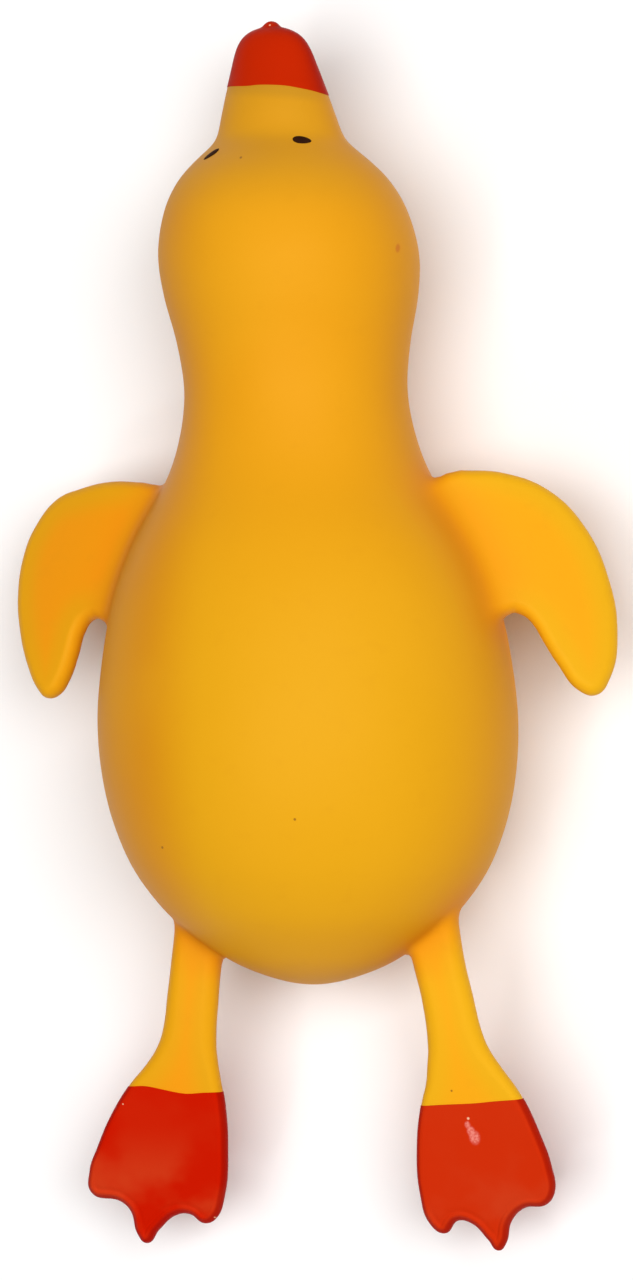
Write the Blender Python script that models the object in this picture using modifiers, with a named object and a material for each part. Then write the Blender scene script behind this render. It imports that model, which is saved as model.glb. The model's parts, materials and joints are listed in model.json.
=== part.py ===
"""A soft, duck-shaped rubber chicken: a hollow squeeze toy with a squeaker in its belly.

It lies on its belly. +Y runs from the toes to the bill, +X is the bird's right and +Z is up.
The origin is on the table, under the middle of the whole toy.
The skin is one moulding on the real toy. Here it is cut where it bends, so that each stretch
is a solid of its own, and every hinge line carries an empty that the moving stretch hangs from.
Sizes below are in millimetres; MM turns them into the scene's metres.
"""

import math

import bmesh
import bpy
from mathutils import Matrix, Vector

MM = 0.001

# The skin as a body of ellipse sections, from the tail to the tip of the bill.
WALL = 2.2
GAP = 0.4  # left between neighbours that touch on the real toy
MID_HEIGHT = 26.4  # of the mould's parting plane above the table; the belly below it is pressed flat
TAIL_Y = -59.0
BILL_TIP_Y = 103.9
HALF_WIDTHS = (  # (y, half width): tail, belly, waist, neck, head, brow crease, bill
    (TAIL_Y, 0.0), (-58.1, 5.8), (-56.0, 12.1), (-52.6, 18.1), (-46.6, 25.4), (-38.0, 31.4),
    (-27.0, 35.0), (-15.0, 36.1), (-2.4, 34.8), (7.3, 32.6), (15.0, 29.5), (24.8, 23.8),
    (31.6, 20.9), (41.0, 19.2), (50.0, 20.1), (58.0, 21.9), (65.0, 22.5), (72.4, 21.0),
    (77.5, 18.1), (81.6, 14.0), (84.6, 11.6), (90.0, 9.9), (96.6, 7.9), (100.4, 6.2),
    (102.8, 4.0), (BILL_TIP_Y, 0.0),
)
CENTRE_LINE = ((TAIL_Y, -0.9), (-15.0, -1.8), (10.0, -2.4), (30.0, -3.2), (60.0, -4.9), (84.0, -6.6), (104.0, -8.3))
FLATNESS = ((TAIL_Y, 0.86), (10.0, 0.86), (40.0, 0.94), (70.0, 0.95), (84.0, 0.86), (92.0, 0.7), (104.0, 0.62))
TWIST = ((TAIL_Y, 0.0), (25.0, 0.0), (62.0, -15.0), (104.0, -15.0))  # degrees about the long axis
ROUND_STEPS = 32

# Where the skin is cut: its back in height, its neck along Y.
BACK_FLEX_Z = MID_HEIGHT + 19.2
BACK_PANEL_Z = MID_HEIGHT + 24.8
SHOULDER_Y = 31.0
LOWER_NECK_Y = 43.0
MID_NECK_Y = 46.6
UPPER_NECK_Y = 58.4
THROAT_Y = 62.0
NOD_Y, SWAY_Y, TWIST_Y = 37.0, 52.7, 62.2  # where the neck bends up and down, bends sideways, and turns
BILL_PAINT_Y = 91.6
BILL_NUB_RADIUS = 1.5

# Eyes: painted ovals on the brow.
EYE_Y = 82.6
EYE_ANGLE = 47.0  # degrees from the crest, either side
EYE_SIZE = (1.55, 1.15, 0.5)

# Wings: flat blades that hinge a little outside the skin. The soft blades don't lie quite alike.
WING_THICK = 3.2
WING_HINGE = {"right": (33.2, 15.0), "left": (33.3, 14.0)}  # its middle, from the centre line and Y
WING_YAW = {"right": 25.4, "left": 23.4}
WING_DROOP = {"right": 20.0, "left": 15.0}
WING_EDGES = {  # (outboard of the hinge, along the hinge to the head)
    "right": ((0.4, 14.2), (7.0, 10.8), (12.9, 5.0), (15.9, -3.0), (15.9, -12.5), (13.3, -21.7),
              (8.9, -28.2), (5.4, -29.8), (3.2, -28.0), (1.5, -20.5), (0.6, -14.2)),
    "left": ((0.0, 13.3), (6.4, 10.8), (12.0, 6.6), (16.1, 0.2), (16.4, -7.0), (13.6, -15.2),
             (8.4, -22.6), (3.6, -26.6), (0.9, -26.9), (-0.3, -24.2), (0.0, -18.5), (0.2, -13.6)),
}
WING_ROOT = (14.6, -11.9)  # where the blade meets the skin, along the hinge

# Legs: a strap, a flared ankle and a webbed foot in a row, each on its own hinge.
HIP = (21.7, -57.5)  # the hip hinge's middle, as distance from X = 0 and Y
LEG_YAW = {"right": (10.0, 4.5, -8.5), "left": (10.0, 5.0, -2.0)}  # each on top of the one before
LEG_DROOP = (4.0, 6.0, 6.0)  # likewise
STRAP_HALF, STRAP_LENGTH, STRAP_THICK = 4.4, 11.5, 4.8
ANKLE_LENGTH, ANKLE_THICK = 10.3, 4.0
ANKLE_EDGE = ((4.6, 0.0), (5.3, -2.6), (6.4, -5.6), (8.3, -9.9))  # outer side; the inner is its twin
FOOT_THICK = 3.4
FOOT_EDGE = (  # (outward, along): round the web and its three toes from the outer side
    (8.9, 0.0), (10.5, -6.9), (11.8, -13.2), (11.9, -17.6), (10.4, -20.4), (6.0, -20.5),
    (3.2, -22.2), (1.3, -26.0), (0.0, -27.4), (-1.5, -25.3), (-3.6, -21.9), (-6.0, -20.6),
    (-8.9, -22.1), (-10.9, -21.2), (-11.8, -16.2), (-10.9, -7.0), (-9.0, 0.0),
)

# Squeaker: a plastic cup pressed into the belly, with a reed clamped in its hub.
SQUEAKER_Y = -15.0
BOSS_RADIUS, BOSS_HEIGHT = 12.6, 4.2
FLANGE_RADIUS, FLANGE_BOTTOM, FLANGE_TOP = 10.0, 0.3, 1.5
NECK_RADIUS, BARB_RADIUS, BARB_TOP = 8.1, 9.7, 5.9
CUP_WALL, CUP_HEIGHT = 1.2, 13.0
HUB_RADIUS, HUB_BORE, HUB_TOP = 3.8, 2.6, 4.6
BED_RADIUS, BED_CHANNEL, BED_BOTTOM, BED_TOP = 2.2, 1.2, 0.8, 11.8
REED_SIZE = (3.2, 0.3, 10.2)
REED_PIVOT_Z = 2.7

ORIGIN_SHIFT = (1.335, 0.066, 0.0)  # puts the middle of the whole toy on the origin

YELLOW = (0.86, 0.40, 0.028)
RED = (0.62, 0.035, 0.004)
BLACK = (0.012, 0.009, 0.008)
WHITE = (0.80, 0.79, 0.74)


def between(points, y):
    """The value at y on a smooth curve through (y, value) points."""
    last = len(points) - 1
    i = next((k for k in range(last) if y <= points[k + 1][0]), last - 1)
    before, start = points[max(i - 1, 0)], points[i]
    end, after = points[i + 1], points[min(i + 2, last)]
    span = end[0] - start[0]
    t = min(max((y - start[0]) / span, 0.0), 1.0)
    slope_in = (end[1] - before[1]) / (end[0] - before[0])
    slope_out = (after[1] - start[1]) / (after[0] - start[0])
    return (
        (2 * t**3 - 3 * t**2 + 1) * start[1]
        + (t**3 - 2 * t**2 + t) * span * slope_in
        + (3 * t**2 - 2 * t**3) * end[1]
        + (t**3 - t**2) * span * slope_out
    )


def half_width(y):
    """The skin's half width at y. Both ends are domes, so the squared width is what runs smoothly."""
    return math.sqrt(max(between([(at, half**2) for at, half in HALF_WIDTHS], y), 0.0))


def skin_point(y, angle):
    """A point of the skin at y, with the angle in radians from the crest towards the right wing."""
    half = half_width(y)
    across, up = half * math.sin(angle), half * between(FLATNESS, y) * math.cos(angle)
    turned = Matrix.Rotation(math.radians(between(TWIST, y)), 4, "Y") @ Vector((across, 0, up))
    point = turned + Vector((between(CENTRE_LINE, y), y, MID_HEIGHT))
    point.z = max(point.z, 0.0)  # the belly lies flat on the table
    return point


def skin_normal(y, angle):
    step = 0.05
    round_it = skin_point(y, angle + step) - skin_point(y, angle - step)
    along = skin_point(y + step, angle) - skin_point(y - step, angle)
    return round_it.cross(along).normalized()


def material(name, colour, roughness):
    made = bpy.data.materials.new(name)
    made.use_nodes = True
    surface = made.node_tree.nodes["Principled BSDF"]
    surface.inputs["Base Color"].default_value = (*colour, 1.0)
    surface.inputs["Roughness"].default_value = roughness
    surface.inputs["Metallic"].default_value = 0.0
    return made


def collection(name):
    made = bpy.data.collections.new(name)
    bpy.context.scene.collection.children.link(made)
    return made


def clear_scene():
    for thing in list(bpy.data.objects):
        bpy.data.objects.remove(thing)


def add_object(name, data, home, parent=None, look=None):
    thing = bpy.data.objects.new(name, data)
    home.objects.link(thing)
    thing.parent = parent
    if look:
        data.materials.append(look)
    return thing


def shade_round(mesh):
    mesh.shade_smooth()
    mesh.set_sharp_from_angle(angle=math.radians(40))


def mesh_from(bm, name):
    mesh = bpy.data.meshes.new(name)
    bm.to_mesh(mesh)
    bm.free()
    shade_round(mesh)
    return mesh


def hang(thing, pivot):
    """Hang a piece of the skin from a hinge empty, and leave it where it is."""
    bpy.context.view_layer.update()
    thing.parent = pivot
    thing.matrix_parent_inverse = pivot.matrix_world.inverted() @ BIRD.matrix_world


def hollow_skin(name, start_y, end_y, steps, look):
    """A stretch of the skin as an open tube with a wall. A tube that reaches either end closes in a dome."""
    tail, tip = start_y <= TAIL_Y, end_y >= BILL_TIP_Y
    bm = bmesh.new()
    rings = []
    for step in range(steps + 1):
        share = step / steps
        if tail:
            share = 1 - math.cos(share * math.pi / 2)  # closer rings where the dome turns in
        elif tip:
            share = math.sin(share * math.pi / 2)
        y = start_y + (end_y - start_y) * share
        if (tail and step == 0) or (tip and step == steps):
            rings.append([bm.verts.new(skin_point(y, 0) * MM)])
            continue
        angles = [2 * math.pi * k / ROUND_STEPS for k in range(ROUND_STEPS)]
        rings.append([bm.verts.new(skin_point(y, angle) * MM) for angle in angles])
    for low, high in zip(rings, rings[1:]):
        for k in range(ROUND_STEPS):
            after = (k + 1) % ROUND_STEPS
            corners = [low[k % len(low)], low[after % len(low)], high[after % len(high)], high[k % len(high)]]
            bm.faces.new(list(dict.fromkeys(corners)))
    skin = add_object(name, mesh_from(bm, name), TOY, BIRD, look)
    wall = skin.modifiers.new("wall", "SOLIDIFY")
    wall.thickness = WALL * MM
    wall.offset = -1
    return skin


def turned(name, profile, home, parent, look=None, steps=32):
    """A closed (radius, height) outline turned about Z. It runs down its outer side first."""
    bm = bmesh.new()
    points = [bm.verts.new((radius * MM, 0, height * MM)) for radius, height in profile]
    for k, point in enumerate(points):
        bm.edges.new((point, points[(k + 1) % len(points)]))
    thing = add_object(name, mesh_from(bm, name), home, parent, look)
    screw = thing.modifiers.new("turn", "SCREW")
    screw.steps = screw.render_steps = steps
    screw.use_merge_vertices = True
    screw.merge_threshold = 0.00001
    return thing


def cylinder(name, radius, low, high, home, parent, look=None, steps=32):
    bm = bmesh.new()
    middle = Matrix.Translation((0, 0, (low + high) / 2 * MM))
    bmesh.ops.create_cone(
        bm, cap_ends=True, segments=steps, radius1=radius * MM, radius2=radius * MM,
        depth=(high - low) * MM, matrix=middle,
    )
    return add_object(name, mesh_from(bm, name), home, parent, look)


def box(name, low, high, home, parent, look=None):
    bm = bmesh.new()
    size = Vector(high) - Vector(low)
    middle = Matrix.Translation((Vector(high) + Vector(low)) / 2 * MM)
    bmesh.ops.create_cube(bm, size=1.0, matrix=middle @ Matrix.Diagonal((*(size * MM), 1.0)))
    return add_object(name, mesh_from(bm, name), home, parent, look)


def boolean(thing, other, operation):
    change = thing.modifiers.new(other.name, "BOOLEAN")
    change.object = other
    change.operation = operation
    change.solver = "EXACT"


def as_cutter(thing):
    thing.hide_render = True
    thing.display_type = "WIRE"
    return thing


def blade(name, edge, corners, thick, home, parent, look=None):
    """A flat piece with fully rounded rims: a smooth edge in the XY plane, shut by straight lines through the corners."""
    curve = bpy.data.curves.new(name, "CURVE")
    curve.dimensions = "2D"
    curve.fill_mode = "BOTH"
    curve.resolution_u = 3
    curve.bevel_depth = thick / 2 * MM
    curve.bevel_resolution = 2
    curve.offset = -thick / 2 * MM
    spline = curve.splines.new("BEZIER")
    spline.bezier_points.add(len(edge) + len(corners) - 1)
    for k, (x, y) in enumerate((*edge, *corners)):
        point = spline.bezier_points[k]
        point.co = (x * MM, y * MM, 0)
        smooth = 0 < k < len(edge) - 1
        point.handle_left_type = point.handle_right_type = "AUTO" if smooth else "VECTOR"
    spline.use_cyclic_u = True
    guide = add_object(name + "_outline", curve, home, parent)
    bpy.context.view_layer.update()
    seen = guide.evaluated_get(bpy.context.evaluated_depsgraph_get())
    mesh = bpy.data.meshes.new_from_object(seen)
    bpy.data.objects.remove(guide)
    bm = bmesh.new()
    bm.from_mesh(mesh)
    bmesh.ops.remove_doubles(bm, verts=bm.verts, dist=0.00001)
    bmesh.ops.recalc_face_normals(bm, faces=bm.faces)
    bpy.data.meshes.remove(mesh)
    return add_object(name, mesh_from(bm, name), home, parent, look)


def hinge(name, parent, place, turn):
    """An empty on a hinge line. turn is (droop, roll, yaw) in degrees."""
    made = add_object(name, None, TOY, parent)
    made.location = Vector(place) * MM
    made.rotation_euler = [math.radians(angle) for angle in turn]
    made.empty_display_size = 0.005
    return made


def mirrored(points, side):
    return [(side * x, y) for x, y in points]


def make_torso(look):
    """The belly, and above it a panel of the back that sinks in when the toy is squeezed, inside a soft band."""
    pieces = [hollow_skin(name, TAIL_Y, SHOULDER_Y, 17, look) for name in ("torso_skin", "back_flex", "back_panel")]
    torso, flex, panel = pieces
    wide, high = 80.0, 80.0
    over = box("over_belly", (-wide, -wide, BACK_FLEX_Z), (wide, wide, high), CUTTERS, BIRD)
    band = box("flex_band", (-wide, -wide, BACK_FLEX_Z + GAP), (wide, wide, BACK_PANEL_Z), CUTTERS, BIRD)
    lid = box("over_flex", (-wide, -wide, BACK_PANEL_Z + GAP), (wide, wide, high), CUTTERS, BIRD)
    boolean(torso, as_cutter(over), "DIFFERENCE")
    boolean(flex, as_cutter(band), "INTERSECT")
    boolean(panel, as_cutter(lid), "INTERSECT")
    top = skin_point(SQUEAKER_Y, 0)
    hang(panel, hinge("back_press_axis", BIRD, top, (0, 0, 0)))
    return torso


def neck_pivot(name, parent, y, parent_y):
    """An empty on the centre line of the neck, as an offset from its parent's."""
    place = [Vector((between(CENTRE_LINE, at), at, MID_HEIGHT)) for at in (y, parent_y)]
    return hinge(name, parent, place[0] - place[1] if parent is not BIRD else place[0], (0, 0, 0))


def make_neck_and_head(look):
    """Two soft neck rings with a firm one between, a throat ring, the head and the bill."""
    nod = neck_pivot("neck_nod_hinge", BIRD, NOD_Y, NOD_Y)
    sway = neck_pivot("neck_sway_hinge", nod, SWAY_Y, NOD_Y)
    twist = neck_pivot("neck_twist_hinge", sway, TWIST_Y, SWAY_Y)
    hollow_skin("lower_neck_skin", SHOULDER_Y + GAP, LOWER_NECK_Y, 3, look)
    hang(hollow_skin("neck_ring", LOWER_NECK_Y + GAP, MID_NECK_Y, 1, look), nod)
    hang(hollow_skin("upper_neck_skin", MID_NECK_Y + GAP, UPPER_NECK_Y, 3, look), nod)
    hang(hollow_skin("throat_ring", UPPER_NECK_Y + GAP, THROAT_Y, 1, look), sway)
    head = hollow_skin("head_skin", THROAT_Y + GAP, BILL_PAINT_Y, 12, look)
    bill = hollow_skin("bill", BILL_PAINT_Y + GAP, BILL_TIP_Y, 6, RED_PAINT)
    nub = as_cutter(ball("bill_nub", BILL_NUB_RADIUS, CUTTERS))
    nub.location = Vector((between(CENTRE_LINE, BILL_TIP_Y), BILL_TIP_Y - 0.7, MID_HEIGHT)) * MM
    boolean(bill, nub, "UNION")
    eyes = make_eyes(head, BLACK_PAINT)
    for thing in (head, bill, nub, *eyes):
        hang(thing, twist)


def ball(name, radius, home, look=None, scale=(1, 1, 1)):
    bm = bmesh.new()
    size = Matrix.Diagonal((*scale, 1.0))
    bmesh.ops.create_uvsphere(bm, u_segments=14, v_segments=8, radius=radius * MM, matrix=size)
    return add_object(name, mesh_from(bm, name), home, BIRD, look)


def make_eyes(head, look):
    made = []
    for side, sign in SIDES:
        angle = sign * math.radians(EYE_ANGLE)
        place = skin_point(EYE_Y, angle)
        facing = skin_normal(EYE_Y, angle).to_track_quat("Z", "Y")
        eye = ball(side + "_eye", 1.0, TOY, look, EYE_SIZE)
        pocket = as_cutter(ball(side + "_eye_pocket", 1.0, CUTTERS, None, [s + GAP for s in EYE_SIZE]))
        for thing in (eye, pocket):
            thing.location = place * MM
            thing.rotation_mode = "QUATERNION"
            thing.rotation_quaternion = facing
            made.append(thing)
        boolean(head, pocket, "DIFFERENCE")
    return made


def make_wings(torso, look):
    """Each wing is a blade on its hinge, and a stub of the same thickness that grows out of the torso."""
    top, bottom = WING_ROOT
    half = WING_THICK / 2
    stub_end = -half - GAP
    for side, sign in SIDES:
        out, y = WING_HINGE[side]
        place = (between(CENTRE_LINE, y) + sign * out, y, MID_HEIGHT)
        root = hinge(side + "_wing_hinge", BIRD, place, (0, sign * WING_DROOP[side], sign * WING_YAW[side]))
        edge = mirrored(WING_EDGES[side], sign)
        corners = mirrored(((-half, bottom), (-half, top)), sign)
        blade(side + "_wing", edge, corners, WING_THICK, TOY, root, look)
        stub_edge = mirrored(((stub_end, bottom + 0.2), (stub_end, top)), sign)
        stub_back = mirrored(((-9.4, top + 0.6), (-7.0, 1.0), (-7.6, bottom + 0.4)), sign)
        stub = as_cutter(blade(side + "_wing_stub", stub_edge, stub_back, WING_THICK, CUTTERS, root))
        boolean(torso, stub, "UNION")


def slanted_end(x, low, yaw):
    """A point of a strap's far end, which runs along the next hinge line."""
    return (x, low + x * math.tan(math.radians(yaw)))


def make_leg(torso, side, sign, look):
    """Strap, ankle and foot of one leg, each hanging from the hinge empty of the one before."""
    out, y = HIP
    place = (sign * out, y, MID_HEIGHT)
    yaws = LEG_YAW[side]
    hip = hinge(side + "_hip_hinge", BIRD, place, (LEG_DROOP[0], 0, sign * yaws[0]))
    ankle = hinge(side + "_ankle_hinge", hip, (0, -STRAP_LENGTH, 0), (LEG_DROOP[1], 0, sign * yaws[1]))
    foot = hinge(side + "_foot_hinge", ankle, (0, -ANKLE_LENGTH, 0), (LEG_DROOP[2], 0, sign * yaws[2]))

    half = STRAP_THICK / 2
    low = -STRAP_LENGTH + ANKLE_THICK / 2 + GAP
    strap = ((STRAP_HALF, half), (STRAP_HALF - 0.2, -4.0), slanted_end(STRAP_HALF, low, yaws[1]))
    back = (slanted_end(-STRAP_HALF, low, yaws[1]), (0.2 - STRAP_HALF, -4.0), (-STRAP_HALF, half))
    blade(side + "_leg", mirrored(strap, sign), mirrored(back, sign), STRAP_THICK, TOY, hip, look)

    low = -ANKLE_LENGTH + FOOT_THICK / 2 + GAP
    (root, _), *flare, (wide, _) = ANKLE_EDGE
    outer = [(root, ANKLE_THICK / 2), *flare, slanted_end(wide, low, yaws[2])]
    inner = [slanted_end(-wide, low, yaws[2]), *((-x, y) for x, y in reversed(flare)), (-root, ANKLE_THICK / 2)]
    blade(side + "_ankle", mirrored(outer, sign), mirrored(inner, sign), ANKLE_THICK, TOY, ankle, look)

    edge = [(x, FOOT_THICK / 2 if y == 0 else y) for x, y in FOOT_EDGE]
    blade(side + "_foot", mirrored(edge, sign), [], FOOT_THICK, TOY, foot, RED_PAINT)

    stub_end = half + GAP
    stub_edge = ((STRAP_HALF + 0.4, 16.5), (STRAP_HALF, stub_end))
    stub_back = ((-STRAP_HALF, stub_end), (-STRAP_HALF - 0.4, 10.0))
    stub = blade(side + "_leg_stub", mirrored(stub_edge, sign), mirrored(stub_back, sign), STRAP_THICK, CUTTERS, hip)
    boolean(torso, as_cutter(stub), "UNION")


def make_squeaker(torso):
    """A barbed cup in the belly, a channelled bed, the reed over its open side and the wedge that clamps it."""
    place = hinge("squeaker_axis", BIRD, (between(CENTRE_LINE, SQUEAKER_Y), SQUEAKER_Y, 0), (0, 0, 0))
    recess = FLANGE_TOP + GAP
    boss = cylinder("squeaker_boss", BOSS_RADIUS, 0.6, BOSS_HEIGHT, CUTTERS, place)
    seat = cylinder("squeaker_seat", FLANGE_RADIUS + GAP, -2.0, recess, CUTTERS, place)
    hole = cylinder("squeaker_hole", NECK_RADIUS + GAP, -2.0, BOSS_HEIGHT + 4.0, CUTTERS, place)
    for tool, operation in ((boss, "UNION"), (seat, "DIFFERENCE"), (hole, "DIFFERENCE")):
        boolean(torso, as_cutter(tool), operation)

    inside = NECK_RADIUS - CUP_WALL
    floor = FLANGE_BOTTOM + CUP_WALL
    barb_bottom = BOSS_HEIGHT + GAP
    outline = (
        (NECK_RADIUS, CUP_HEIGHT), (NECK_RADIUS, BARB_TOP), (BARB_RADIUS, barb_bottom + 0.4),
        (BARB_RADIUS, barb_bottom), (NECK_RADIUS, barb_bottom), (NECK_RADIUS, FLANGE_TOP),
        (FLANGE_RADIUS, FLANGE_TOP), (FLANGE_RADIUS, FLANGE_BOTTOM), (HUB_BORE, FLANGE_BOTTOM),
        (HUB_BORE, HUB_TOP), (HUB_RADIUS, HUB_TOP), (HUB_RADIUS, floor), (inside, floor), (inside, CUP_HEIGHT),
    )
    turned("squeaker_cup", outline, TOY, place, WHITE_PLASTIC)

    half_reed = REED_SIZE[1] / 2
    bed = cylinder("reed_bed", BED_RADIUS, BED_BOTTOM, BED_TOP, TOY, place, WHITE_PLASTIC, 20)
    channel = cylinder("reed_channel", BED_CHANNEL, BED_BOTTOM - 2, BED_TOP - 1.2, CUTTERS, place, None, 16)
    face = half_reed + GAP - 0.1
    far = BED_RADIUS + 1
    trim = box("reed_bed_trim", (-far, -face, BED_BOTTOM - 2), (far, far, BED_TOP + 2), CUTTERS, place)
    for tool in (channel, trim):
        boolean(bed, as_cutter(tool), "DIFFERENCE")

    wedge = cylinder("reed_wedge", BED_RADIUS, BED_BOTTOM, HUB_TOP + 0.4, TOY, place, WHITE_PLASTIC, 20)
    trim = box("reed_wedge_trim", (-far, -far, BED_BOTTOM - 2), (far, face, HUB_TOP + 2), CUTTERS, place)
    boolean(wedge, as_cutter(trim), "DIFFERENCE")

    pivot = hinge("reed_hinge", place, (0, 0, REED_PIVOT_Z), (0, 0, 0))
    wide, thick, tall = REED_SIZE
    low = BED_BOTTOM + 0.3 - REED_PIVOT_Z
    box("reed", (-wide / 2, -thick / 2, low), (wide / 2, thick / 2, low + tall), TOY, pivot, REED_PLASTIC)


clear_scene()
TOY = collection("rubber_chicken")
CUTTERS = collection("cutters")
CUTTERS.hide_render = True
SIDES = (("right", 1), ("left", -1))
YELLOW_RUBBER = material("yellow_rubber", YELLOW, 0.5)
RED_PAINT = material("red_paint", RED, 0.4)
BLACK_PAINT = material("black_paint", BLACK, 0.35)
WHITE_PLASTIC = material("white_plastic", WHITE, 0.4)
REED_PLASTIC = material("reed_plastic", WHITE, 0.3)

BIRD = add_object("bird_origin", None, TOY)
BIRD.location = Vector(ORIGIN_SHIFT) * MM
torso_skin = make_torso(YELLOW_RUBBER)
make_neck_and_head(YELLOW_RUBBER)
make_wings(torso_skin, YELLOW_RUBBER)
for leg_side, leg_sign in SIDES:
    make_leg(torso_skin, leg_side, leg_sign, YELLOW_RUBBER)
make_squeaker(torso_skin)
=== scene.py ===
"""Looks of a soft, duck-shaped rubber chicken: one smooth rubber skin, cut where the toy bends.

The skin is a single implicit surface: a body of ellipse sections with two blade wings and two strap
legs melted into it. It is meshed once and cut along the bend lines and the paint lines; the torso
and the bill ride on the CAD bodies there. Lengths are millimetres in the bird's own frame, whose
origin is on the floor under its middle; to_row() turns points into the row's metres.
"""

import json
import math

import bpy
import numpy as np
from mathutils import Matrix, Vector


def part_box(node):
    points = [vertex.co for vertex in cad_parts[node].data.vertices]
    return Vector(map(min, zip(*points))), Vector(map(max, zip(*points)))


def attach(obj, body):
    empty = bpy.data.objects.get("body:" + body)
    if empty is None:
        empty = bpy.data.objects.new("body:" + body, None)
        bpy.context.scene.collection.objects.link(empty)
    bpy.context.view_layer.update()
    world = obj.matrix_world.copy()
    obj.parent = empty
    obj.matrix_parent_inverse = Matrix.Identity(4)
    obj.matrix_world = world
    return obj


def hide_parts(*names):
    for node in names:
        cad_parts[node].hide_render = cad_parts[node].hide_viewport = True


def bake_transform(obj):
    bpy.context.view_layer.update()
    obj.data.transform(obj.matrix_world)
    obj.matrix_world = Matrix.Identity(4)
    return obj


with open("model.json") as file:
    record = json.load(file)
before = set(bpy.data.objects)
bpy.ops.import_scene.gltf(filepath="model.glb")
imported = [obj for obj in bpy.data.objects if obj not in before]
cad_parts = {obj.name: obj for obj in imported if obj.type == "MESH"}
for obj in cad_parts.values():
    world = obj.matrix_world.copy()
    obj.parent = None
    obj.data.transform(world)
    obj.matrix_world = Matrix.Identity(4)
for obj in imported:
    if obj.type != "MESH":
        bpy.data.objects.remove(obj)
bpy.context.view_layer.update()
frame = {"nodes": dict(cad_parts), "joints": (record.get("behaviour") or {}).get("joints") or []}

MM = 0.001
CELL = 0.9  # of the net that the skin is first caught in
WALL, THIN_WALL = 2.0, 0.7  # of the hollow body, and where it grows out into a limb

# The body's sections along Y, as in the CAD skin.
TAIL_Y, BILL_TIP_Y = -59.3, 103.9
HALF_WIDTHS = (  # (y, half width): tail, belly, waist, neck, head, brow crease, bill
    (TAIL_Y, 0.0), (-58.3, 5.9), (-56.1, 12.4), (-52.6, 18.1), (-46.6, 25.4), (-38.0, 31.4),
    (-27.0, 35.0), (-15.0, 36.1), (-2.4, 34.8), (7.3, 32.6), (15.0, 29.5), (24.8, 23.8),
    (31.6, 20.9), (41.0, 19.2), (50.0, 20.1), (58.0, 21.9), (65.0, 22.5), (72.4, 21.0),
    (77.5, 18.4), (81.6, 14.5), (84.0, 11.8), (86.0, 11.1), (90.0, 9.9), (96.6, 8.0), (100.4, 6.7),
    (102.9, 4.7), (BILL_TIP_Y, 0.0),
)
CENTRE_LINE = ((TAIL_Y, -0.9), (-15.0, -1.95), (10.0, -2.5), (30.0, -3.4), (60.0, -5.05),
               (84.0, -6.65), (104.0, -8.3))
FLATNESS = ((TAIL_Y, 0.86), (10.0, 0.86), (40.0, 0.94), (70.0, 0.95), (82.0, 0.88), (86.0, 0.77),
            (89.0, 0.81), (92.0, 0.79), (95.5, 0.71), (104.0, 0.62))
TWIST = ((TAIL_Y, 0.0), (25.0, 0.0), (62.0, -15.0), (104.0, -15.0))  # degrees about the long axis
BELLY_ROUND = 2.5  # how softly the belly turns into its flat patch
RIPPLE = 0.1  # height of the skin's slow unevenness
NUB_RADIUS = 1.5

# Where the skin is cut.
SHOULDER_Y, MID_NECK_Y, THROAT_Y, BROW_Y = 25.0, 47.0, 64.0, 80.0
CAP_HEIGHT = 21.6  # of the back's soft cap above the middle
SEAT_HOLE = 12.0  # radius of the opening that the squeaker's seat fills
# Where the limbs' cuts look for skin: (out from the middle, lowest y, highest y).
WING_WINDOW, HIP_WINDOW, FOOT_WINDOW = (10, -32, 42), (6, -66, -43), (6, -112, -61)
BILL_PAINT = (  # (x, y)
    (-15.5, 93.6), (-11.0, 93.25), (-8.8, 93.35), (-4.1, 93.1), (-1.3, 92.6), (0.2, 92.3), (1.6, 91.9),
)
FOOT_PAINT = {
    "left": ((-33.1, -77.3), (-31.0, -77.1), (-26.2, -78.0), (-23.4, -78.4), (-20.4, -78.1),
             (-17.0, -78.0)),
    "right": ((18.3, -79.6), (22.2, -79.3), (27.1, -79.0), (30.3, -78.6), (35.9, -78.1)),
}
PAINT_THICK = 0.08  # how far the red stands out

# Wings: (outboard of the hinge, along it to the head).
WING_DROOP = {"right": 20.0, "left": 15.0}
WING_EDGES = {
    "right": ((0.4, 14.2), (7.0, 10.8), (12.9, 5.0), (15.9, -3.0), (15.9, -12.5), (13.3, -21.7),
              (8.8, -28.3), (5.4, -30.0), (3.0, -28.1), (1.6, -22.6), (1.0, -18.0), (0.7, -15.0),
              (0.0, -13.0), (-1.2, -11.6)),
    "left": ((0.2, 13.3), (6.4, 11.0), (12.0, 7.5), (16.0, 4.0), (18.2, -2.0), (18.2, -7.1),
             (16.1, -13.6), (12.4, -19.3), (7.6, -24.3), (3.6, -27.1), (1.6, -27.6), (0.0, -26.3),
             (-0.7, -23.4), (-0.4, -18.3), (0.1, -14.8), (-0.3, -12.5), (-1.4, -11.3)),
}
WING_ROOT = {
    "right": ((-3.6, -11.0), (-14.0, -10.0), (-14.0, 12.0), (-2.0, 14.6)),
    "left": ((-3.6, -10.8), (-14.0, -10.0), (-14.0, 12.0), (-2.0, 13.6)),
}
WING_SPAN = ((-14, 17), (-31, 16))  # of outboard and along
WING_HALF, WING_TAPER = 2.2, 0.9  # half thickness at the root, and how much less at the tip
WING_RIM = 1.8  # width of the rounded rim
WING_CAMBER = 0.006
WING_MELT = 5.0  # radius over which wing and body melt together
WING_BLEND = (-2.9, 4.1)  # where the skin starts and ends bending, outboard of the hinge

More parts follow.
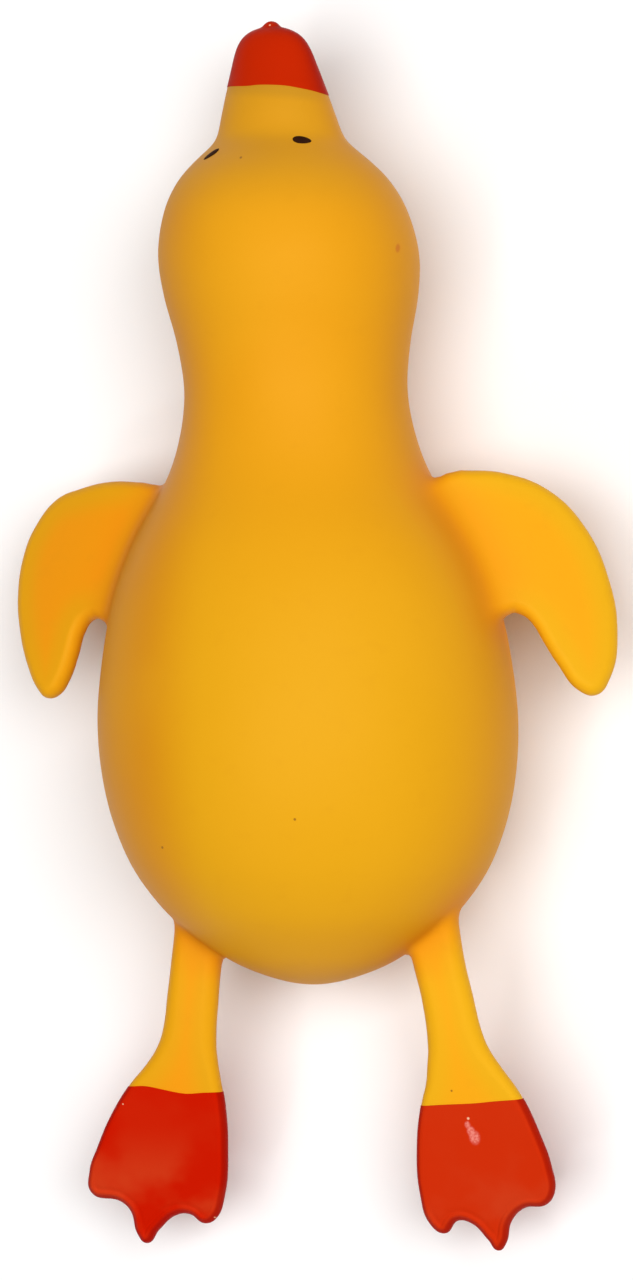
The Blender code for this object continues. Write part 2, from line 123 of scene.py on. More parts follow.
# Legs: (hinge, away from the other leg, up the leg), hinges 0 hip, 1 ankle, 2 foot, from the outer
# side of the hip round the toes.
LEG_EDGES = {
    "left": (
        (0, 4.9, 14.0), (0, 4.4, 2.0), (0, 4.2, -4.0), (1, 4.1, 0.0), (1, 4.4, -2.8),
        (1, 5.4, -5.9), (2, 7.8, -0.3), (2, 10.3, -7.0), (2, 11.8, -13.2), (2, 12.6, -17.8),
        (2, 11.7, -21.8), (2, 6.4, -22.0), (2, 4.5, -23.2), (2, 2.6, -27.3), (2, 0.9, -28.5),
        (2, -0.8, -25.6), (2, -3.6, -21.9), (2, -6.0, -21.1), (2, -8.7, -22.1), (2, -10.4, -20.9),
        (2, -11.4, -16.2), (2, -10.7, -7.0), (2, -9.3, 0.0), (1, -7.5, -5.2), (1, -6.4, -2.3),
        (1, -5.6, 0.2), (0, -4.8, -4.0), (0, -4.4, 2.0), (0, -4.9, 14.0),
    ),
    "right": (
        (0, 4.9, 14.0), (0, 4.4, 2.0), (0, 4.7, -4.0), (1, 5.2, 0.0), (1, 5.6, -2.6),
        (1, 6.6, -5.6), (2, 8.8, 0.0), (2, 10.8, -6.9), (2, 11.9, -13.2), (2, 11.7, -17.5),
        (2, 9.9, -19.7), (2, 6.0, -20.0), (2, 3.3, -22.2), (2, 1.6, -26.2), (2, 0.2, -27.3),
        (2, -1.2, -25.2), (2, -3.6, -22.0), (2, -6.0, -21.3), (2, -8.7, -23.4), (2, -10.9, -21.5),
        (2, -11.7, -16.2), (2, -10.7, -7.0), (2, -8.8, 0.0), (1, -6.7, -5.5), (1, -5.6, -2.6),
        (1, -4.7, 0.0), (0, -4.1, -4.0), (0, -4.4, 2.0), (0, -4.9, 14.0),
    ),
}
TOE = (0.0, -27.4)  # the middle toe's tip, in the foot's frame
LEG_DROOP = (4.0, 10.0, 16.0)  # of strap, ankle and foot below level
LEG_HALF = (2.4, 2.1, 1.75, 1.35)  # half thickness at hip, ankle, foot and toe
LEG_RIM = (2.4, 2.6, 1.6, 1.15)  # width of the rounded rim there
LEG_MELT = 2.6
HIP_BLEND = (2.2, -4.8)  # where the skin starts and ends bending, up the leg
BEND_BLEND = (3.5, -3.5)
LIMB_MARGIN = 8  # of skin round a limb where the limb still counts

EYE_PLACE = {"right": (83.6, 44.0), "left": (81.6, 29.5)}  # (y, degrees from the top of the head)
EYE_TURN = {"right": -8.0, "left": 56.0}  # degrees, of the oval in its own plane
EYE_HALF = (1.6, 0.95)  # half length, half height
EYE_RISE = 0.16  # of the paint's middle

SIDES = (("right", 1), ("left", -1))
JOINTS = {j["name"]: j for j in frame["joints"]}


# ---------------- smooth curves and tables

def smooth_curve(points, at):
    """Values at `at` on a smooth curve through (t, value) points, straight on past both ends."""
    t, v = np.array(points, float).T
    slope = np.gradient(v, t)
    slope[1:-1] = (v[2:] - v[:-2]) / (t[2:] - t[:-2])
    k = np.clip(np.searchsorted(t, at) - 1, 0, len(t) - 2)
    span = t[k + 1] - t[k]
    held = np.clip(at, t[0], t[-1])
    s = (held - t[k]) / span
    inside = (
        (2 * s**3 - 3 * s**2 + 1) * v[k]
        + (s**3 - 2 * s**2 + s) * span * slope[k]
        + (3 * s**2 - 2 * s**3) * v[k + 1]
        + (s**3 - s**2) * span * slope[k + 1]
    )
    end = np.where(at < held, slope[0], slope[-1])
    return inside + (at - held) * end


def taps(position, count):
    """First index and the four weights of a cubic B-spline at each position of a table."""
    position = np.clip(position, 1.0, count - 3.001)
    first = position.astype(int)
    t = position - first
    weights = (
        (1 - t) ** 3 / 6,
        (3 * t**3 - 6 * t**2 + 4) / 6,
        (-3 * t**3 + 3 * t**2 + 3 * t + 1) / 6,
        t**3 / 6,
    )
    return first - 1, weights


class Profile:
    """A very smooth function of one coordinate through a few points."""

    STEP = 0.25
    MARGIN = 14.0

    def __init__(self, points, blur=1.0):
        reach = 4 * blur
        self.low = points[0][0] - self.MARGIN
        at = np.arange(self.low - reach, points[-1][0] + self.MARGIN + reach, self.STEP)
        bell = np.exp(-0.5 * (np.arange(-reach, reach + self.STEP / 2, self.STEP) / blur) ** 2)
        self.table = np.convolve(smooth_curve(points, at), bell / bell.sum(), "valid")

    def __call__(self, at):
        first, weights = taps((at - self.low) / self.STEP, len(self.table))
        return sum(w * self.table[first + i] for i, w in enumerate(weights))

    def slope(self, at):
        return (self(at + 0.1) - self(at - 0.1)) / 0.2


class Outline:
    """Signed distance to a closed flat outline, negative inside it."""

    STEP = 0.25
    MARGIN = 9.0

    def __init__(self, edge, corners):
        loop = closed_curve(edge, corners)
        self.low = loop.min(0) - self.MARGIN
        self.high = loop.max(0) + self.MARGIN
        axes = [np.arange(a, b, self.STEP) for a, b in zip(self.low, self.high)]
        u, v = np.meshgrid(*axes, indexing="ij")
        nearest = np.full(u.shape, np.inf)
        inside = np.zeros(u.shape, bool)
        for (au, av), (bu, bv) in zip(loop, np.roll(loop, -1, 0)):
            du, dv = bu - au, bv - av
            share = np.clip(((u - au) * du + (v - av) * dv) / (du * du + dv * dv), 0, 1)
            nearest = np.minimum(nearest, (u - au - share * du) ** 2 + (v - av - share * dv) ** 2)
            if av != bv:
                inside ^= ((av > v) != (bv > v)) & (u < au + (v - av) * du / dv)
        self.table = np.where(inside, -1, 1) * np.sqrt(nearest)

    def __call__(self, u, v):
        first_u, weights_u = taps((u - self.low[0]) / self.STEP, self.table.shape[0])
        first_v, weights_v = taps((v - self.low[1]) / self.STEP, self.table.shape[1])
        total = 0
        for i, wu in enumerate(weights_u):
            for j, wv in enumerate(weights_v):
                total = total + wu * wv * self.table[first_u + i, first_v + j]
        return total


def closed_curve(edge, corners, per_span=9):
    """Points round a loop that is smooth along the edge and straight through the corners."""
    points = np.array([*edge, *corners], float)
    before, after = np.roll(points, 1, 0) - points, np.roll(points, -1, 0) - points
    length_in = np.linalg.norm(before, axis=1, keepdims=True)
    length_out = np.linalg.norm(after, axis=1, keepdims=True)
    along = after / length_out - before / length_in
    along /= np.linalg.norm(along, axis=1, keepdims=True)
    handle_in, handle_out = points - along * length_in * 0.39, points + along * length_out * 0.39
    sharp = np.ones(len(points), bool)
    sharp[1 : len(edge) - 1] = False
    handle_in[sharp] = points[sharp] + before[sharp] / 3
    handle_out[sharp] = points[sharp] + after[sharp] / 3
    t = np.linspace(0, 1, per_span, endpoint=False)[:, None]
    spans = [
        (1 - t) ** 3 * points[k]
        + 3 * (1 - t) ** 2 * t * handle_out[k]
        + 3 * (1 - t) * t**2 * handle_in[(k + 1) % len(points)]
        + t**3 * points[(k + 1) % len(points)]
        for k in range(len(points))
    ]
    return np.concatenate(spans)


def ease(low, high, value):
    t = np.clip((value - low) / (high - low), 0, 1)
    return t * t * (3 - 2 * t)


def unit(v):
    return v / np.maximum(np.linalg.norm(v, axis=-1, keepdims=True), 1e-12)


def melt(a, b, radius):
    """Union of two distances whose meeting line is filled to about `radius`."""
    near = np.maximum(radius - np.abs(a - b), 0) / radius
    return np.minimum(a, b) - near**3 * radius / 6


def lens(across, height, half, rim):
    """Distance to a blade: `half` thick either side, its rim a half ellipse `rim` wide."""
    reach = np.maximum(across + rim, 0)
    scaled = np.sqrt((height / half) ** 2 + (reach / rim) ** 2)
    straight = np.sqrt(height**2 + reach**2)
    return np.where(scaled > 1e-6, straight * (1 - 1 / np.maximum(scaled, 1e-6)), -half)


# ---------------- the bird's frame

half_width_squared = Profile([(y, half**2) for y, half in HALF_WIDTHS])
centre_line = Profile(CENTRE_LINE, 3.0)
flatness = Profile(FLATNESS, 1.5)
twist = Profile(TWIST, 3.0)

cup_low, cup_high = [np.array(corner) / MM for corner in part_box("squeaker_cup")]
SQUEAKER_Y = -15.0
SQUEAKER = np.array([float(centre_line(np.array(SQUEAKER_Y))), SQUEAKER_Y])
ORIGIN = np.array([*((cup_low + cup_high)[:2] / 2 - SQUEAKER), 0.0])


def to_row(points):
    """Bird millimetres to the row frame's metres."""
    return (np.asarray(points, float) + ORIGIN) * MM


def joint_place(name):
    return np.array(JOINTS[name]["pos_m"]) / MM - ORIGIN


def joint_axis(name):
    return unit(np.array(JOINTS[name]["axis"], float))


MID = joint_place("neck_nod")[2]  # height of the mould's parting plane


class Frame:
    """A limb's frame on its hinge: outward or sideways x, along y, and the blade's own up."""

    def __init__(self, place, x, y):
        self.place, self.x, self.y = place, x, y
        self.z = np.cross(x, y)

    def to_bird(self, x, y, z=0.0):
        return self.place + x * self.x + y * self.y + z * self.z

    def coordinates(self, p):
        away = p - self.place
        return away @ self.x, away @ self.y, away @ self.z


def wing_frame(side, sign):
    """Outboard, then along the hinge to the head. `level` is outboard without the droop."""
    axis = joint_axis(side + "_wing_flap")
    level = np.cross((0, 0, 1), axis)
    droop = math.radians(WING_DROOP[side])
    outboard = level * math.cos(droop) - np.array((0, 0, math.sin(droop)))
    made = Frame(joint_place(side + "_wing_flap"), outboard, -sign * axis)
    made.z = made.z * np.sign(made.z[2])
    made.level = level
    return made


def leg_frame(side, sign, name, droop):
    """Sideways, away from the other leg, then up the leg to the body."""
    outward = -sign * joint_axis(f"{side}_{name}_bend")
    up_leg = unit(np.cross((0, 0, 1), outward * sign))
    up_leg = up_leg * math.cos(math.radians(droop)) + np.array((0, 0, math.sin(math.radians(droop))))
    made = Frame(joint_place(f"{side}_{name}_bend"), outward, up_leg)
    made.z = made.z * np.sign(made.z[2])
    return made


class Wing:
    def __init__(self, side, sign):
        self.frame = wing_frame(side, sign)
        self.outline = Outline(WING_EDGES[side], WING_ROOT[side])
        corners = [self.frame.to_bird(x, y) for x in WING_SPAN[0] for y in WING_SPAN[1]]
        self.low, self.high = np.min(corners, 0) - LIMB_MARGIN, np.max(corners, 0) + LIMB_MARGIN

    def edge_distance(self, p):
        out, along, _ = self.frame.coordinates(p)
        return self.outline(out, along)

    def distance(self, p):
        out, along, up = self.frame.coordinates(p)
        up = up + WING_CAMBER * np.maximum(out, 0) ** 2
        half = WING_HALF - WING_TAPER * ease(-2, 17, out)
        return lens(self.outline(out, along), up, half, WING_RIM)

    def level(self, p):
        """Below 0 on the wing's side of its cut."""
        away = p - self.frame.place
        along = away @ self.frame.y
        return np.maximum(WING_BLEND[0] - away @ self.frame.level, np.abs(along + 8.0) - 25.0)


class Leg:
    def __init__(self, side, sign):
        names = ("hip", "ankle", "foot")
        self.frames = [leg_frame(side, sign, n, d) for n, d in zip(names, LEG_DROOP)]
        hip, ankle, foot = self.frames
        edge = [self.frames[hinge].to_bird(x, y)[:2] for hinge, x, y in LEG_EDGES[side]]
        self.outline = Outline(edge, ())
        self.low = np.array([*self.outline.low, foot.to_bird(*TOE)[2] - LIMB_MARGIN])
        self.high = np.array([*self.outline.high, MID + 12])
        spots = [foot.to_bird(*TOE), foot.place, ankle.place, hip.place]
        ys = [p[1] for p in spots]
        self.middle = Profile([(p[1], p[2]) for p in spots] + [(ys[-1] + 16, MID + 1.2)], 1.5)
        self.half = Profile(list(zip(ys, reversed(LEG_HALF))), 1.5)
        self.rim = Profile(list(zip(ys, reversed(LEG_RIM))), 1.5)
        paint_x, paint_y = np.array(FOOT_PAINT[side]).T
        self.paint = Profile(list(zip(paint_x, paint_y)), 0.8)

    def edge_distance(self, p):
        return self.outline(p[:, 0], p[:, 1])

    def distance(self, p):
        y = p[:, 1]
        slope = self.middle.slope(y)
        height = (p[:, 2] - self.middle(y)) / np.sqrt(1 + slope**2)
        across = self.edge_distance(p)
        toes = ease(-16, -21, self.frames[2].coordinates(p)[1])
        ridge = 0.2 * np.exp(-(((across + 1.05) / 0.3) ** 2))
        groove = 0.12 * np.exp(-(((across + 1.7) / 0.45) ** 2))
        return lens(across, height, self.half(y) + toes * (ridge - groove), self.rim(y))

    def level(self, p):
        """Below 0 on the leg's side of its cut at the hip."""
        side, along, _ = self.frames[0].coordinates(p)
        near = np.maximum(np.abs(side) - 6.2, along - HIP_BLEND[0])
        return np.where(along < -12.0, -5.0, near)

    def paint_level(self, p):
        """Below 0 where the foot is red."""
        return p[:, 1] - self.paint(p[:, 0])


def body_distance(p):
    x, y, z = p.T
    angle = np.radians(twist(y))
    dx, dz = x - centre_line(y), z - MID
    across = dx * np.cos(angle) - dz * np.sin(angle)
    up = dx * np.sin(angle) + dz * np.cos(angle)
    flat = flatness(y)
    value = across**2 + (up / flat) ** 2 - half_width_squared(y)
    steep = np.sqrt(4 * across**2 + 4 * up**2 / flat**4 + half_width_squared.slope(y) ** 2)
    slow = np.sin(x / 9 + 1.3) * np.sin(y / 13 + 0.4) + 0.7 * np.sin(z / 8 + 2.0) * np.sin(y / 11 + 2.2)
    return value / np.maximum(steep, 4.0) + RIPPLE * slow


WINGS = {side: Wing(side, sign) for side, sign in SIDES}
LEGS = {side: Leg(side, sign) for side, sign in SIDES}
LIMBS = [(w, WING_MELT) for w in WINGS.values()] + [(leg, LEG_MELT) for leg in LEGS.values()]
NUB = np.array([float(centre_line(np.array(BILL_TIP_Y))), BILL_TIP_Y - 0.7, MID])


def skin(p):
    """Signed distance to the whole bird, about right near its surface."""
    result = body_distance(p)
    for limb, radius in LIMBS:
        near = np.all((p > limb.low) & (p < limb.high), axis=1)
        result[near] = melt(result[near], limb.distance(p[near]), radius)
    nub = np.linalg.norm(p - NUB, axis=1) - NUB_RADIUS
    result = melt(result, nub, 0.9)
    return -melt(-result, p[:, 2], BELLY_ROUND)


def gradient(field, p, reach=0.06):
    steps = np.eye(3) * reach
    return np.stack([field(p + s) - field(p - s) for s in steps], 1) / (2 * reach)


def settle(p, rounds=2):
    """Moves points on to the skin."""
    for _ in range(rounds):
        slope = gradient(skin, p)
        p = p - (skin(p) / np.maximum((slope**2).sum(1), 1e-6))[:, None] * slope
    return p


# ---------------- meshing

def surface_net(low, high, step):
    """Points and quads of the skin, one point in each grid cell that it passes through."""
    counts = np.ceil((np.array(high) - low) / step).astype(int) + 1
    grid = np.stack(np.meshgrid(*[np.arange(c) for c in counts], indexing="ij"), -1).reshape(-1, 3)
    values = skin(low + grid * step).reshape(counts)
    inside = values < 0
    corners = np.array([(i, j, k) for i in (0, 1) for j in (0, 1) for k in (0, 1)])
    within = 0
    for corner in corners:
        window = tuple(slice(o, c - 1 + o) for o, c in zip(corner, counts))
        within = within + inside[window].astype(int)
    cells = np.argwhere((within > 0) & (within < 8))
    index = np.full(within.shape, -1)
    index[tuple(cells.T)] = np.arange(len(cells))
    total, hits = np.zeros((len(cells), 3)), np.zeros(len(cells))
    for a in corners:
        for b in corners:
            if (b - a).min() == 0 and (b - a).sum() == 1:
                va, vb = values[tuple((cells + a).T)], values[tuple((cells + b).T)]
                crossed = (va < 0) != (vb < 0)
                share = np.where(crossed, va / np.where(crossed, va - vb, 1), 0)
                total += (a + share[:, None] * (b - a)) * crossed[:, None]
                hits += crossed
    points = low + step * (cells + total / hits[:, None])
    quads = []
    for axis in range(3):
        u, v = np.eye(3, dtype=int)[[(axis + 1) % 3, (axis + 2) % 3]]
        ahead = np.roll(inside, -1, axis)
        change = np.argwhere(inside != ahead)
        change = change[np.all((change > 0) & (change < counts - 1), axis=1)]
        ring = [index[tuple((change - o).T)] for o in (u + v, v, 0 * u, u)]
        quad = np.stack(ring, 1)
        outward = inside[tuple(change.T)]
        quads.append(np.where(outward[:, None], quad, quad[:, ::-1]))
    return points, np.concatenate(quads)


def relaxed(points, quads, rounds=4):
    """Evens out the points' spacing along the skin."""
    a = quads.ravel()
    b = np.roll(quads, -1, 1).ravel()
    first, second = np.concatenate([a, b]), np.concatenate([b, a])
    count = np.bincount(first, minlength=len(points))[:, None]
    points = settle(points)
    for _ in range(rounds):
        mean = np.stack([np.bincount(first, points[second, k], len(points)) for k in range(3)], 1) / count
        normal = unit(gradient(skin, points))
        move = mean - points
        move -= (move * normal).sum(1, keepdims=True) * normal
        points = settle(points + 0.6 * move, 1)
    return settle(points)


def triangulated(points, quads):
    """Each quad split along its shorter diagonal, or its longer one where another quad has that edge."""
    a, b, c, d = points[quads].transpose(1, 0, 2)
    short = np.linalg.norm(a - c, axis=1) < np.linalg.norm(b - d, axis=1)
    ends = np.where(short[:, None], quads[:, [0, 2]], quads[:, [1, 3]])
    keys = ends.min(1) * len(points) + ends.max(1)
    _, index, count = np.unique(keys, return_index=True, return_counts=True)
    short[index[count > 1]] ^= True
    first = np.where(short[:, None], quads[:, [0, 1, 2]], quads[:, [0, 1, 3]])
    second = np.where(short[:, None], quads[:, [0, 2, 3]], quads[:, [1, 2, 3]])
    return np.concatenate([first, second])


def on_line(level, p, rounds=3):
    """Moves points along the skin on to the surface level(p) = 0."""
    for _ in range(rounds):
        normal = unit(gradient(skin, p))
        slope = gradient(level, p)
        slope -= (slope * normal).sum(1, keepdims=True) * normal
        size = np.maximum((slope**2).sum(1), 0.05)
        p = settle(p - (level(p) / size)[:, None] * slope, 1)
    return p


def cut(points, triangles, level, where):
    """Splits triangles along level(p) = 0, on the stretch of skin where `where` is true."""
    active = where(points)
    value = np.where(active, level(points), 1.0)
    near = np.abs(value) < 0.25 * CELL
    points = points.copy()
    points[near] = on_line(level, points[near])
    value[near] = 0
    sign = np.sign(value)
    usable = active[triangles].all(1)
    at = sign[triangles] * usable[:, None]
    crossed = at * np.roll(at, -1, 1) < 0
    count = crossed.sum(1)
    start, end = triangles[crossed], np.roll(triangles, -1, 1)[crossed]
    low, high = np.minimum(start, end), np.maximum(start, end)
    keys, which = np.unique(low * len(points) + high, return_inverse=True)
    a, b = keys // len(points), keys % len(points)
    share = (value[a] / (value[a] - value[b]))[:, None]
    fresh = on_line(level, points[a] * (1 - share) + points[b] * share)
    made = np.full(triangles.shape, -1)
    made[crossed] = which.ravel() + len(points)
    result = [triangles[count == 0]]
    for k in range(3):
        order = [k, (k + 1) % 3, (k + 2) % 3]
        lone = (count == 2) & crossed[:, k] & crossed[:, order[2]]
        v, m = triangles[lone][:, order], made[lone][:, order]
        result += [np.stack(t, 1) for t in (
            (v[:, 0], m[:, 0], m[:, 2]), (m[:, 0], v[:, 1], v[:, 2]), (m[:, 0], v[:, 2], m[:, 2]))]
        touch = (count == 1) & crossed[:, order[1]]
        v, m = triangles[touch][:, order], made[touch][:, order]
        result += [np.stack(t, 1) for t in ((v[:, 0], v[:, 1], m[:, 1]), (v[:, 0], m[:, 1], v[:, 2]))]
    return np.concatenate([points, fresh]), np.concatenate(result)


def edges_of(triangles):
    """Every directed edge, and whether its twin is missing, so that it lies on the border."""
    directed = np.concatenate([triangles[:, [0, 1]], triangles[:, [1, 2]], triangles[:, [2, 0]]])
    size = directed.max() + 1
    keys = directed[:, 0] * size + directed[:, 1]
    twins = directed[:, 1] * size + directed[:, 0]
    return directed, ~np.isin(keys, twins)


def refined(points, triangles):
    """Each triangle cut into four. New points settle on the skin, except along the border."""
    directed, border = edges_of(triangles)
    low, high = directed.min(1), directed.max(1)
    keys, first, which = np.unique(low * len(points) + high, return_index=True, return_inverse=True)
    middle = (points[low[first]] + points[high[first]]) / 2
    free = ~border[first]
    middle[free] = settle(middle[free])
    made = which.reshape(3, -1).T + len(points)
    a, b, c = triangles.T
    ab, bc, ca = made.T
    parts = [np.stack(t, 1) for t in ((a, ab, ca), (ab, b, bc), (ca, bc, c), (ab, bc, ca))]
    return np.concatenate([points, middle]), np.concatenate(parts)


def picked(points, triangles):
    """Only the points that these triangles use."""
    used, flat = np.unique(triangles, return_inverse=True)
    return points[used], flat.reshape(triangles.shape)


def border_loops(triangles):
    directed, border = edges_of(triangles)
    following = dict(directed[border].tolist())
    loops = []
    while following:
        start, at = following.popitem()
        loop = [start]
        while at != start:
            loop.append(at)
            at = following.pop(at)
        loops.append(loop)
    return loops


def most_of_limbs(p, share):
    """The greatest share(limb, points, their body distance) of the limbs near each point, or 0."""
    result = np.zeros(len(p))
    body = body_distance(p)
    for limb, _ in LIMBS:
        near = np.all((p > limb.low) & (p < limb.high), axis=1)
        result[near] = np.maximum(result[near], share(limb, p[near], body[near]))
    return result


def crease_of(p):
    """1 in the folds where wings and legs grow out of the body, 0 a few millimetres away."""
    def share(limb, q, body):
        return np.exp(-((body / 5) ** 2) - (limb.distance(q) / 5) ** 2)
    return most_of_limbs(p, share)


def inner_of(p):
    """1 well inside the outline of a wing or a leg, 0 on its rim and on the body."""
    def share(limb, q, body):
        return ease(0.3, 8.0, -limb.edge_distance(q)) * ease(0.5, 5.0, body)
    return most_of_limbs(p, share)


def flank_of(p):
    """1 on the steep and the under sides of the body, 0 on its top and on the limbs."""
    return ease(0.9, 0.2, gradient(skin, p)[:, 2]) * ease(2.5, 0.5, body_distance(p))


def top_of(p):
    """1 on upper sides, 0 on under sides."""
    return ease(-0.1, 0.1, gradient(skin, p)[:, 2])


def limb_of(p):
    """1 on wings and legs, 0 on the body."""
    return ease(0.5, 2.5, body_distance(p))


SKIN_FIELDS = {
    "inner": inner_of, "crease": crease_of, "flank": flank_of, "top": top_of, "limb": limb_of,
}


def make_piece(name, points, triangles, look, solid=False, raise_by=0.0):
    """A closed mesh object. A solid piece has its cut ends capped; otherwise it gets an inner wall."""
    normals = unit(gradient(skin, points))
    rest = points
    outer = points + normals * raise_by
    count = len(points)
    if solid:
        loops = border_loops(triangles)
        hubs = np.array([outer[loop].mean(0) for loop in loops])
        caps = []
        for k, loop in enumerate(loops):
            caps += [(loop[i], loop[i - 1], count + k) for i in range(len(loop))]
        vertices = np.concatenate([outer, hubs]) if loops else outer
        rest = np.concatenate([rest, hubs]) if loops else rest
        faces = [triangles, np.array(caps, int)] if loops else [triangles]
        shading = [normals[triangles]]
    else:
        out_of_body = ease(0.2, 2.5, body_distance(points))
        depth = (WALL - (WALL - THIN_WALL) * out_of_body)[:, None]
        vertices = np.concatenate([outer, points - normals * depth])
        rest = np.concatenate([rest, points])
        directed, border = edges_of(triangles)
        a, b = directed[border].T
        rims = np.concatenate([np.stack((b, a, a + count), 1), np.stack((b, a + count, b + count), 1)])
        faces = [triangles, triangles[:, ::-1] + count, rims]
        shading = [normals[triangles], -normals[triangles[:, ::-1]]]
    if len(faces) > len(shading):  # the caps or the rims, which are shaded flat
        p = vertices[faces[-1]]
        facing = unit(np.cross(p[:, 1] - p[:, 0], p[:, 2] - p[:, 0]))
        shading.append(np.repeat(facing[:, None], 3, 1))
    made = mesh_object(name, to_row(vertices), np.concatenate(faces), look)
    made.data.normals_split_custom_set(np.concatenate(shading).reshape(-1, 3).tolist())
    add_attribute(made, "rest", to_row(rest))
    for attribute, field in SKIN_FIELDS.items():
        add_attribute(made, attribute, field(rest))
    return made


def mesh_object(name, vertices, faces, look):
    mesh = bpy.data.meshes.new(name)
    mesh.from_pydata(np.asarray(vertices).tolist(), [], np.asarray(faces).tolist())
    mesh.shade_smooth()
    mesh.materials.append(look)
    mesh.update()
    made = bpy.data.objects.new(name, mesh)
    bpy.context.scene.collection.objects.link(made)
    return made


def add_attribute(thing, name, values):
    kind, field = ("FLOAT_VECTOR", "vector") if values.ndim == 2 else ("FLOAT", "value")
    attribute = thing.data.attributes.new(name, kind, "POINT")
    attribute.data.foreach_set(field, np.ravel(values).astype(np.float32))


# ---------------- materials

class Look:
    """A node material with a few shorthands. Numbers that don't vary sit on the shader's sockets."""

    def __init__(self, name, roughness, specular=0.5, tint=(1.0, 1.0, 1.0)):
        self.material = bpy.data.materials.new(name)
        self.material.use_nodes = True
        self.tree = self.material.node_tree
        self.shader = self.tree.nodes["Principled BSDF"]
        self.shader.inputs["Roughness"].default_value = roughness
        self.shader.inputs["Specular IOR Level"].default_value = specular
        self.shader.inputs["Specular Tint"].default_value = (*tint, 1.0)

    def shade(self, base, roughness=None):
        self.feed(self.shader.inputs["Base Color"], base)
        if roughness is not None:
            self.feed(self.shader.inputs["Roughness"], roughness)

    def node(self, kind, inputs=None, **settings):
        made = self.tree.nodes.new(kind)
        for key, value in settings.items():
            setattr(made, key, value)
        for key, value in (inputs or {}).items():
            self.feed(made.inputs[key], value)
        return made

    def feed(self, socket, value):
        if isinstance(value, bpy.types.NodeSocket):
            self.tree.links.new(value, socket)
        else:
            socket.default_value = value

    def attribute(self, name, output="Fac"):
        return self.node("ShaderNodeAttribute", attribute_name=name).outputs[output]

    def noise(self, at, scale, detail=2.0, roughness=0.5):
        inputs = {"Vector": at, "Scale": scale, "Detail": detail, "Roughness": roughness}
        return self.node("ShaderNodeTexNoise", inputs).outputs["Fac"]

    def ramp(self, value, low, high, start=0.0, end=1.0):
        inputs = {"Value": value, "From Min": low, "From Max": high, "To Min": start, "To Max": end}
        made = self.node("ShaderNodeMapRange", inputs, interpolation_type="SMOOTHSTEP")
        return made.outputs["Result"]

    def plus(self, a, b):
        return self.node("ShaderNodeMath", {0: a, 1: b}, operation="ADD").outputs[0]

    def times(self, a, b):
        return self.node("ShaderNodeMath", {0: a, 1: b}, operation="MULTIPLY").outputs[0]

    def mix(self, share, a, b):
        """Colour a where share is 0, b where it is 1."""
        made = self.node("ShaderNodeMix", {0: share}, data_type="RGBA")
        self.feed(made.inputs[6], a)
        self.feed(made.inputs[7], b)
        return made.outputs[2]

    def spot(self, at, place, radius, stretch=(1.0, 1.0, 0.0)):
        """1 within a small mark on the upper side of the skin, 0 outside it."""
        scaled = self.node("ShaderNodeVectorMath", {0: at, 1: stretch}, operation="MULTIPLY").outputs[0]
        centre = tuple(c * s for c, s in zip((*place, 0.0), stretch))
        gap = self.node("ShaderNodeVectorMath", {0: scaled, 1: centre}, operation="DISTANCE")
        mark = self.ramp(gap.outputs["Value"], radius, radius * 0.4)
        return self.times(mark, self.attribute("top"))

    def bump(self, *layers):
        """Stacks (height, depth in metres) layers into the shader's normal."""
        normal = None
        for height, depth in layers:
            inputs = {"Height": height, "Distance": depth, "Strength": 1.0}
            if normal is not None:
                inputs["Normal"] = normal
            normal = self.node("ShaderNodeBump", inputs).outputs["Normal"]
        self.feed(self.shader.inputs["Normal"], normal)


def colour(r, g, b):
    return (r, g, b, 1.0)


YELLOW, AMBER = colour(0.78, 0.37, 0.008), colour(0.80, 0.335, 0.008)  # tail end, head end
SHADED_LEFT_LIMB, LIT_RIGHT_LIMB = colour(0.87, 0.31, 0.005), colour(0.90, 0.385, 0.007)  # left and right limb middles: painted shade on the left, painted light on the right
SHADED_LEFT_RIM, LIT_RIGHT_RIM = colour(0.77, 0.35, 0.006), colour(0.83, 0.415, 0.008)  # their edges: yellower thin rubber with painted light, painted shade on the left
FOLD_SHADE = colour(0.80, 0.24, 0.004)  # painted shade in the folds where wings and legs grow out of the body
PALE, DULL = colour(0.82, 0.39, 0.012), colour(0.68, 0.28, 0.008)  # clouds, mottling
FLANK_SHADE = colour(0.72, 0.285, 0.003)  # painted shade on the body's steep and under sides
SNOUT = colour(0.69, 0.31, 0.012)  # the bill's yellow root
LEFT_SHADE = colour(0.70, 0.25, 0.005)  # painted shade: the body's darker, more orange left side
PAINT_LINE_BROWN = colour(0.46, 0.22, 0.02)  # darker brown along the bill's paint line
LEFT_RED, RIGHT_RED = colour(0.57, 0.0085, 0.0002), colour(0.60, 0.027, 0.003)  # feet
BILL_RED = colour(0.97, 0.050, 0.0003)
DARK_RED, DUST_AND_SHEEN = colour(0.34, 0.004, 0.001), colour(0.60, 0.042, 0.009)  # darker red: painted shade on rims and steep sides; dust with painted sheen on the toes
CHIP_AND_GLINT, SHEEN = colour(0.88, 0.50, 0.30), colour(0.85, 0.25, 0.20)  # bare spots and painted glints; the painted highlight's pink specks
FLECK_BROWN, SCRATCH_BROWN = colour(0.36, 0.12, 0.01), colour(0.62, 0.14, 0.01)
EYE_BROWNS = colour(0.022, 0.007, 0.003), colour(0.045, 0.014, 0.006)
FLECKS = (  # (x, y), radius: small marks in the yellow rubber
    ((-9.9, 80.5), 0.3), ((3.7, -30.3), 0.3), ((-21.1, -35.4), 0.3), ((23.2, -76.9), 0.25),
)
SCRATCH = ((15.8, 65.2), 0.5)
CHIPS_AND_GLINTS = (  # (x, y), radius: where the red paint is gone, and painted glints at the bill's tip and at (25.8, -81.6)
    ((-35.1, -80.4), 0.17), ((-17.3, -81.0), 0.15), ((-20.7, -100.1), 0.17), ((-8.2, 103.9), 0.2),
    ((25.8, -81.6), 0.3),
)
FOOT_HIGHLIGHT = (((25.6, -82.7), 0.8), ((26.1, -83.8), 1.1), ((26.7, -84.9), 1.5))  # painted highlight on the right foot


def row_spot(place):
    return tuple(c * MM for c in (np.array(place) + ORIGIN[:2]))


